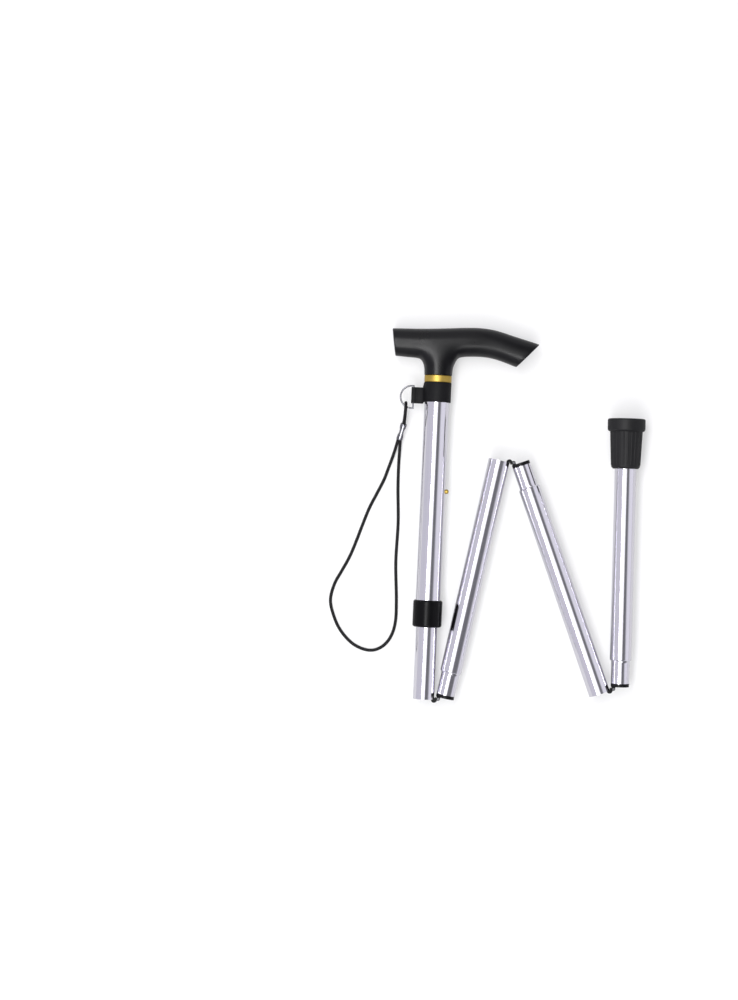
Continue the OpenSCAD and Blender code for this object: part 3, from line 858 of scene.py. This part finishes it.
@dataclass
class WristCord:
    """Cord loop, its crimp and the short loop on the D ring, in millimetres from the ring's bar.

    Attributes:
        bar: middle of the ring's bar in the tube's frame.
        braid_mm: length in which a strand goes once round.
        crimp_end: rounded end of the crimp: way in and way back from the tip, as shares of its edge.
        crimp_rings: rings of the crimp, as shares of its length.
        dent: where it is pressed, as the same shares.
        wrist_route: X, Y and share of the crimp's height, from the crimp round to it again.
        loop_route: X, Y and Z, round the wire of the ring.
    """

    bar: Pair = (-21.2, 267.9)
    cord_r: float = 1.4
    axis_z: float = 16.75
    braid_mm: float = 12.0
    crimp_from: Point = (-7.3, -23.9, -4.8)
    crimp_to: Point = (-10.8, -38.4, -9.3)
    crimp_r: float = 2.9
    crimp_sides: int = 24
    crimp_edge: float = 0.6
    crimp_end: tuple[Pair, ...] = ((1, 0), (0.3, 0.25), (0, 1))
    crimp_rings: tuple[float, ...] = (0.28, 0.36, 0.5, 0.64, 0.72)
    dent: Pair = (0.3, 0.7)
    dent_from: float = 0.55
    dent_sink: float = 0.72
    route_steps: int = 6
    wrist_route: tuple[Point, ...] = (
        (-11.8, -38.4, 1.2), (-13.4, -44.9, 0.75), (-15.6, -52.9, 0.33), (-18.8, -62.9, 0.05), (-22.8, -74.9, 0),
        (-28.8, -87.9, 0), (-34.8, -100.9, 0), (-39.8, -114.9, 0), (-45.8, -132.9, 0), (-50.8, -145.9, 0),
        (-56.8, -157.9, 0), (-62.8, -169.9, 0), (-65.8, -183.9, 0), (-62.8, -196.9, 0), (-55.8, -210.9, 0),
        (-43.8, -222.9, 0), (-29.8, -227.9, 0), (-18.8, -224.9, 0), (-10.8, -215.9, 0), (-6.8, -201.9, 0),
        (-6.8, -180.9, 0), (-8.8, -147.9, 0), (-8.3, -112.9, 0), (-9.8, -82.9, 0), (-10.2, -62.9, 0.03),
        (-10, -50.9, 0.25), (-9.8, -38.4, 0.8))
    loop_route: tuple[Point, ...] = (
        (-7, -24.1, -3.3), (-6.8, -20.6, -1), (-6.6, -16.4, 2.6), (-6.5, -13.4, 4.6), (-6.4, -10.6, 5.2),
        (-6.4, -6.9, 3.7), (-6.4, -5.3, 0), (-6.4, -6.9, -3.7), (-6.4, -10.6, -5.2), (-6.6, -14.5, -5.9),
        (-6.9, -19, -6.1), (-7.6, -24.1, -6.2))

    def build(self, place: Place) -> None:
        """Sweep both cords and turn the crimp.

        Args:
            place: frame of the upper tube.
        """
        lie = self.cord_r - self.axis_z
        rise = self.crimp_to[2] - lie
        wrist = [(x, y, lie + max(0.0, s) * rise) for x, y, s in catmull(self.wrist_route, self.route_steps)]
        for name, node, local in (("wrist_cord_braid", "wrist_cord", wrist),
                                  ("ring_loop_braid", "ring_loop", catmull(self.loop_route, self.route_steps))):
            self._sweep(name, node, [place.at(self.bar[0] + x, self.bar[1] + y, z) for x, y, z in local])
        self._crimp(place)

    def _sweep(self, name: str, node: str, path: list[Vector]) -> None:
        """Sweep a round cord along a path.

        Args:
            name: the piece's name.
            node: the CAD node that it stands for.
            path: points in the row frame, in metres.
        """
        bpy.ops.curve.primitive_nurbs_path_add()
        curve = bpy.context.object.data
        curve.splines.clear()
        spline = curve.splines.new("POLY")
        spline.points.add(len(path) - 1)
        for point, where in zip(spline.points, path):
            point.co = (*where, 1.0)
        curve.dimensions = "3D"
        curve.bevel_depth = self.cord_r * MM
        curve.bevel_resolution = 4
        curve.use_fill_caps = True
        bpy.ops.object.convert(target="MESH")
        obj = bpy.context.object
        obj.name = name
        settle(obj)
        length = sum((b - a).length for a, b in zip(path, path[1:]))
        # Round nylon braid: black, with small grey glints painted on its crossing strands
        dress(obj, BraidedNylon(f"nylon_braid_{node}", "060607", "151517", 0.5, gloss=0.2,
                                turns=length / (self.braid_mm * MM)), ROUNDED)
        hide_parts(node)
        LOG.info("%s is %.4f m long", name, length)
        if node == "ring_loop":
            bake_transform(obj)
        else:
            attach(obj, Body.HANDLE.value)

    def _crimp(self, place: Place) -> None:
        """Turn the crimp sleeve, and press the dents that hold the cords into it.

        Args:
            place: frame of the upper tube.
        """
        way = Vector(self.crimp_to) - Vector(self.crimp_from)
        long, r, e = way.length, self.crimp_r, self.crimp_edge
        end = [(r - e * inset, e * back) for inset, back in self.crimp_end]
        profile = [*end, *((r, s * long) for s in self.crimp_rings), *((out, long - y) for out, y in reversed(end))]
        obj = turn_profile(profile, self.crimp_sides)
        obj.name = "crimp_sleeve"
        edit(obj)
        low, high = (share * long * MM for share in self.dent)
        for side in (1, -1):
            select_where(obj, lambda p: side * p.x > self.dent_from * r * MM and low < p.z < high)
            bpy.ops.transform.resize(value=(self.dent_sink, 1, 1), center_override=(0, 0, 0))
        bpy.ops.object.mode_set(mode="OBJECT")
        apply_modifier(obj, "SUBSURF", levels=1, render_levels=1)
        start = place.at(self.bar[0] + self.crimp_from[0], self.bar[1] + self.crimp_from[1], self.crimp_from[2])
        turn = (place.matrix().to_3x3() @ way).to_track_quat("Z", "Y").to_matrix().to_4x4()
        settle(obj, Matrix.Translation(start) @ turn)
        dress(obj, CHROME, ROUNDED)
        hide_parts("cord_crimp")
        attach(obj, Body.HANDLE.value)


@dataclass
class Hinges:
    """Rubber straps that link the sections, and the places of the tubes, read from their joints, in millimetres.

    Attributes:
        sides: side of the tube that each section folds to.
        rivet_lead: turn from the mouth to the rivet, seen from the bend, when the sections are parallel.
        splays: angle between the sections at each hinge.
        leg: nearest and farthest side of the straight leg, from the bend's middle.
        bend: inner and outer radius of the moulded bend.
        web: where the web from leg to eye ends when the sections are parallel, in degrees from the mouth's plane.
        follow: X past the bend's middle where the strap goes with the section; not used by what is built.
        eye: bore and outer radius of the eye.
    """

    fold_r: float = 9.2
    fold_out: float = 0.4
    sides: tuple[int, ...] = (1, -1, 1)
    splays: tuple[float, ...] = (10.3, 31.8, 20.4)
    rivet_lead: float = 23.8
    rivet_reach: float = 3.716
    leg: Pair = (1.2, 2.67)
    bend: Pair = (0.15, 2.67)
    web: float = 78.0
    follow: float = 1.0
    bend_steps: int = 24
    root: float = 0.5
    wide: float = 3.2
    edge: float = 0.18
    hold: float = 13.0
    eye: Pair = (0.95, 1.7)
    eye_sides: int = 32

    def mouth(self, n: int) -> Place:
        """Frame at the mouth of tube n.

        Args:
            n: 1 for the inner tube of the upper section, up to 3.

        Returns:
            The frame, with +Y into the tube.
        """
        along = -Vector(joint(f"pull_{n}")["axis"])
        pivot = Vector(joint(f"fold_{n}")["pos_m"]) / MM
        across = Vector((along.y, -along.x, 0.0))
        return Place(pivot - self.sides[n - 1] * self.fold_r * across + self.fold_out * along, along)

    def lean(self, n: int) -> float:
        """Find the turn of a section's tubes from +Y.

        Args:
            n: the section, from 1 to 4.

        Returns:
            The turn, in degrees.
        """
        along = -Vector((joint(f"pull_{n}") if n < 4 else frame["record"]["mounts"][0])["axis"])
        return math.degrees(math.atan2(-along.x, along.y))

    def build(self) -> None:
        """Model the strap of each hinge."""
        for n in (1, 2, 3):
            self._strap(n)

    def _strap(self, n: int) -> None:
        """Model one strap: straight in the tube, bent round its rim, with an eye on the rivet.

        Args:
            n: the hinge.
        """
        near, far = self.leg
        lead = math.radians(self.rivet_lead - self.splays[n - 1])
        pivot = Vector((self.fold_r, -self.fold_out, 0))
        bpy.ops.mesh.primitive_plane_add(
            size=1.0, rotation=(math.pi / 2, 0, 0),
            location=((pivot.x - (near + far) / 2) * MM, self.hold * MM, 0))
        obj = bpy.context.object
        obj.scale = ((far - near) * MM, self.wide * MM, 1)
        settle(obj)
        edit(obj)
        extrude(0, self.root - self.hold, 0)
        extrude(0, -(self.root + self.fold_out), 0)
        bpy.ops.transform.resize(value=((far - self.bend[0]) / (far - near), 1, 1),
                                 center_override=((pivot.x - far) * MM, 0, 0))
        bpy.ops.mesh.spin(steps=self.bend_steps, angle=-math.radians(180.0 + self.web - self.splays[n - 1]),
                          center=pivot * MM, axis=(0, 0, 1))
        weld(0.001)
        face_out(obj)
        spot = pivot + self.rivet_reach * Vector((math.cos(lead), math.sin(lead), 0))
        strap = join(f"hinge_strap_rubber_{n}", [obj, self._eye(spot)])
        soften(strap, self.edge)
        mouth, side = self.mouth(n), self.sides[n - 1]
        settle(strap, mouth.matrix(side))
        face_out(strap)
        dress(strap, STRAP_RUBBER)
        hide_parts(f"hinge_strap_{n}")
        mouth.at(side * (pivot.x - near), pivot.y)
        mouth.at(side * (pivot.x + self.follow), pivot.y)
        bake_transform(strap)

    def _eye(self, spot: Vector) -> Object:
        """Model the eye of a strap.

        Args:
            spot: its middle.

        Returns:
            The eye.
        """
        bore, wall = self.eye
        bpy.ops.mesh.primitive_cylinder_add(
            vertices=self.eye_sides, radius=wall * MM, depth=self.wide * MM, location=spot * MM)
        obj = bpy.context.object
        settle(obj)
        edit(obj)
        select_where(obj, lambda p: abs(p.z) > self.wide / 4 * MM, "FACE")
        bpy.ops.mesh.inset(thickness=(wall - bore) * MM)
        bpy.ops.mesh.bridge_edge_loops()
        face_out(obj)
        return obj


@dataclass
class Springs:
    """Springs in the tubes, in millimetres.

    Attributes:
        start: where a return spring leaves its slug, from the tube's mouth.
        coil: mean diameter of its turns, and diameter of its wire.
        holders: bodies that hold the far ends of the return springs; only their count is used here.
        leaf: line of the button's leaf spring, from the top of its back to the top of its front.
        strip: width and thickness of the leaf.
    """

    start: float = 15.3
    length: float = 84.0
    turns: int = 14
    coil: Pair = (6.0, 1.1)
    wire_sides: int = 8
    turn_steps: int = 16
    holders: tuple[str, ...] = (Body.LOWER.value, "section_2", "section_3")
    leaf: tuple[Pair, ...] = (
        (-7.38, 188), (-7.38, 159.25), (-4.93, 155.5), (3.49, 159.25), (6.19, 182), (6.19, 188))
    strip: Pair = (6.0, 0.5)

    def build(self, hinges: Hinges) -> None:
        """Model the springs in their tubes.

        Args:
            hinges: the places of the tubes.
        """
        for n, holder in enumerate(self.holders, 1):
            self._coil(n, hinges.mouth(n))
        self._leaf(hinges.mouth(1))

    def _coil(self, n: int, mouth: Place) -> None:
        """Model one return spring.

        Args:
            n: the hinge.
            mouth: frame of its tube.
        """
        wide, wire = self.coil
        bpy.ops.mesh.primitive_circle_add(
            vertices=self.wire_sides, radius=wire / 2 * MM, location=(wide / 2 * MM, (self.start + wire / 2) * MM, 0))
        obj = bpy.context.object
        settle(obj)
        apply_modifier(obj, "SCREW", axis="Y", angle=math.tau, screw_offset=(self.length - wire) / self.turns * MM,
                       iterations=self.turns, steps=self.turn_steps, render_steps=self.turn_steps)
        edit(obj)
        bpy.ops.mesh.fill_holes(sides=self.wire_sides)
        self._place(obj, f"return_spring_{n}", mouth)
        mouth.at(0, self.start)
        mouth.at(0, self.start + self.length)
        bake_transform(obj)

    def _leaf(self, upper: Place) -> None:
        """Model the leaf spring.

        Args:
            upper: frame of the upper tube.
        """
        wide, thick = self.strip
        (x, top), (_, low) = self.leaf[:2]
        bpy.ops.mesh.primitive_plane_add(
            size=1.0, rotation=(0, math.pi / 2, 0), location=(x * MM, (top + low) / 2 * MM, 0))
        obj = bpy.context.object
        obj.scale = (wide * MM, (top - low) * MM, 1)
        settle(obj)
        edit(obj)
        select_where(obj, lambda p: p.y < (top + low) / 2 * MM)
        for (x0, y0), (x1, y1) in zip(self.leaf[1:], self.leaf[2:]):
            extrude(x1 - x0, y1 - y0, 0)
        apply_modifier(obj, "SOLIDIFY", thickness=thick * MM, offset=0.0, use_even_offset=True)
        self._place(obj, "button_spring", upper)
        back, front = self.leaf[0][0] + thick, self.leaf[-1][0] - thick
        upper.at(back, top)
        upper.at(front, top)
        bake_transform(obj)

    def _place(self, obj: Object, node: str, place: Place) -> None:
        """Put a spring in its tube, in the place of its CAD node.

        Args:
            obj: the spring, modelled in the tube's frame.
            node: the CAD node.
            place: frame of its tube.
        """
        obj.name = f"{node}_steel"
        settle(obj, place.matrix())
        face_out(obj)
        dress(obj, STEEL)
        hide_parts(node)


@dataclass
class Shaft:
    """Tubes, collar, foot and inner pieces: CAD nodes whose shape is right, with their finishes.

    Attributes:
        tube: first and second colour of the anodised tubes.
        shine: their roughness.
    """

    tube: tuple[str, str] = ("E4E2EC", "EFEEF4")
    shine: float = 0.13

    def dress(self, hinges: Hinges) -> None:
        """Give each node that stays its finish.

        Args:
            hinges: the places of the tubes.
        """
        for n, nodes in enumerate((("outer_tube", "inner_tube"), ("tube_2",), ("tube_3",), ("tube_4",)), 1):
            # Drawn and bright anodised aluminium: a cool mirror, streaked along the tube
            dress_nodes(DrawnAluminium(
                f"aluminium_drawn_{n}", *self.tube, self.shine, 1.0, lean=hinges.lean(n)), *nodes)
        for n in (1, 2, 3):
            dress_nodes(CAP_PLASTIC, f"hinge_cap_{n}")
            dress_nodes(RIVET_STEEL, f"hinge_rivet_{n}")
            dress_nodes(HIDDEN_NYLON, f"strap_slider_{n}", f"spring_anchor_{n}")
        dress_nodes(HIDDEN_NYLON, "thread_sleeve", "guide_bush")
        dress_nodes(STEEL, "handle_pin", "foot_washer")
        dress_nodes(BRASS, "trim_ring", "snap_button")
        dress_nodes(CHROME, "d_ring")
        dress_nodes(COLLAR_PLASTIC, "lock_collar")
        dress_nodes(FOOT_RUBBER, "foot")


@dataclass(frozen=True)
class Edge:
    """Soft edge between two parts of the light tent above the cane.

    Attributes:
        at: its angle from straight up towards +X, in degrees.
        slant: how far that angle moves for a ray that points along -Y, in degrees; rays to +Y keep it.
        soft: half of its width, in degrees.
        then: linear colour past it.
    """

    at: float
    slant: float
    soft: float
    then: Point


@dataclass(frozen=True)
class Softbox:
    """One lamp, turned to the cane, with its width, its height and its power in watts."""

    name: str
    where: Point
    size: Pair
    power: float

    def build(self) -> None:
        """Hang the lamp."""
        turn = (-Vector(self.where)).to_track_quat("-Z", "Y").to_euler()
        bpy.ops.object.light_add(type="AREA", location=self.where, rotation=turn)
        lamp = bpy.context.object
        lamp.name = self.name
        lamp.data.shape = "RECTANGLE"
        lamp.data.size, lamp.data.size_y = self.size
        lamp.data.energy = self.power


@dataclass
class Studio:
    """Floor, light and camera, as a shot from straight above, in metres.

    Attributes:
        aim: point of the floor plan in the middle of the picture.
        span: length of floor that the picture's long side takes in.
        roll: turn of the camera, in degrees.
        glow: how much the floor shines for the camera.
        mirrored_glow: the same in a mirror.
        tent: linear colour of the light tent.
        edges: its bright strip and dark gap, from -X to +X.
        lamps: the softboxes.
    """

    aim: Pair = (-0.1275, 0.0105)
    span: float = 0.890
    height: float = 2.0
    roll: float = 2.6
    axis_z: float = 0.01675
    floor: str = "BEBEBE"
    floor_size: float = 40.0
    glow: float = 0.39
    mirrored_glow: float = 0.04
    tent: Point = (0.64, 0.63, 0.69)
    edges: tuple[Edge, ...] = (
        Edge(-10.0, 0.0, 4.0, (1.25, 1.25, 1.25)), Edge(10.0, 0.0, 2.5, (0.17, 0.17, 0.18)),
        Edge(38.0, -130.0, 9.0, (0.82, 0.81, 0.87)))
    lamps: tuple[Softbox, ...] = (
        Softbox("key_softbox", (-0.38, 0.0, 1.3), (1.6, 0.34), 15.0),
        Softbox("low_softbox", (0.05, -0.8, 1.2), (0.9, 0.4), 4.5))

    def build(self) -> None:
        """Set up the camera, the floor, the world and the lamps."""
        bpy.context.scene.view_settings.view_transform = "Standard"
        self._camera()
        self._floor()
        self._world()
        for lamp in self.lamps:
            lamp.build()

    def _camera(self) -> None:
        """Hang the camera over the cane, looking straight down."""
        bpy.ops.object.camera_add(location=(*self.aim, self.axis_z + self.height),
                                  rotation=(0, 0, math.radians(self.roll)))
        camera = bpy.context.object
        camera.data.sensor_width = 36.0
        camera.data.lens = camera.data.sensor_width * self.height / self.span
        camera.data.clip_end = self.floor_size
        bpy.context.scene.camera = camera

    def _floor(self) -> None:
        """Lay a white floor that keeps the cane's shadow."""
        bpy.ops.mesh.primitive_plane_add(size=self.floor_size)
        floor = bpy.context.object
        floor.name = "floor"
        material = bpy.data.materials.new("paper_white")
        material.use_nodes = True
        tree = material.node_tree
        tree.nodes.clear()
        matt = add_node(tree, "BsdfDiffuse", {"Color": srgb(self.floor)})
        ray = add_node(tree, "LightPath")
        faint = add_node(tree, "Math", {"operation": "MULTIPLY", 1: self.mirrored_glow},
                         {0: ray.outputs["Is Glossy Ray"]})
        level = add_node(tree, "Math", {"operation": "MULTIPLY_ADD", 1: self.glow},
                         {0: ray.outputs["Is Camera Ray"], 2: faint.outputs[0]})
        glow = add_node(tree, "Emission", links={"Strength": level.outputs[0]})
        both = add_node(tree, "AddShader", links={0: matt.outputs[0], 1: glow.outputs[0]})
        add_node(tree, "OutputMaterial", links={"Surface": both.outputs[0]})
        floor.data.materials.append(material)

    def _world(self) -> None:
        """Light the cane from a pale tent with one bright strip and one dark gap, side by side above it."""
        world = bpy.data.worlds.new("studio_tent")
        bpy.context.scene.world = world
        world.use_nodes = True
        tree = world.node_tree
        tree.nodes.clear()
        coords = add_node(tree, "TexCoord")
        ray = add_node(tree, "SeparateXYZ", links={0: coords.outputs["Generated"]})
        angle = add_node(tree, "Math", {"operation": "ARCTAN2"},
                         {0: ray.outputs["X"], 1: ray.outputs["Z"]})
        colour = add_node(tree, "CombineXYZ", dict(enumerate(self.tent))).outputs[0]
        low = add_node(tree, "Math", {"operation": "MINIMUM", 1: 0.0}, {0: ray.outputs["Y"]})
        for edge in self.edges:
            slid = add_node(tree, "Math", {"operation": "MULTIPLY_ADD", 1: -math.radians(edge.slant)},
                            {0: low.outputs[0], 2: angle.outputs[0]})
            past = add_node(tree, "MapRange", {
                "interpolation_type": "SMOOTHSTEP", "From Min": math.radians(edge.at - edge.soft),
                "From Max": math.radians(edge.at + edge.soft)}, {"Value": slid.outputs[0]})
            colour = add_node(tree, "Mix", {"data_type": "RGBA", 7: (*edge.then, 1.0)},
                              {0: past.outputs["Result"], 6: colour}).outputs[2]
        back = add_node(tree, "Background", links={"Color": colour})
        add_node(tree, "OutputWorld", links={"Surface": back.outputs[0]})


def main() -> None:
    """Build the studio and each sub-assembly."""
    Studio().build()
    hinges = Hinges()
    upper = hinges.mouth(1)
    WristCord().build(upper)
    Handle().build(upper)
    StrapBand().build(upper)
    hinges.build()
    Springs().build(hinges)
    Shaft().dress(hinges)


if __name__ == "__main__":
    main()
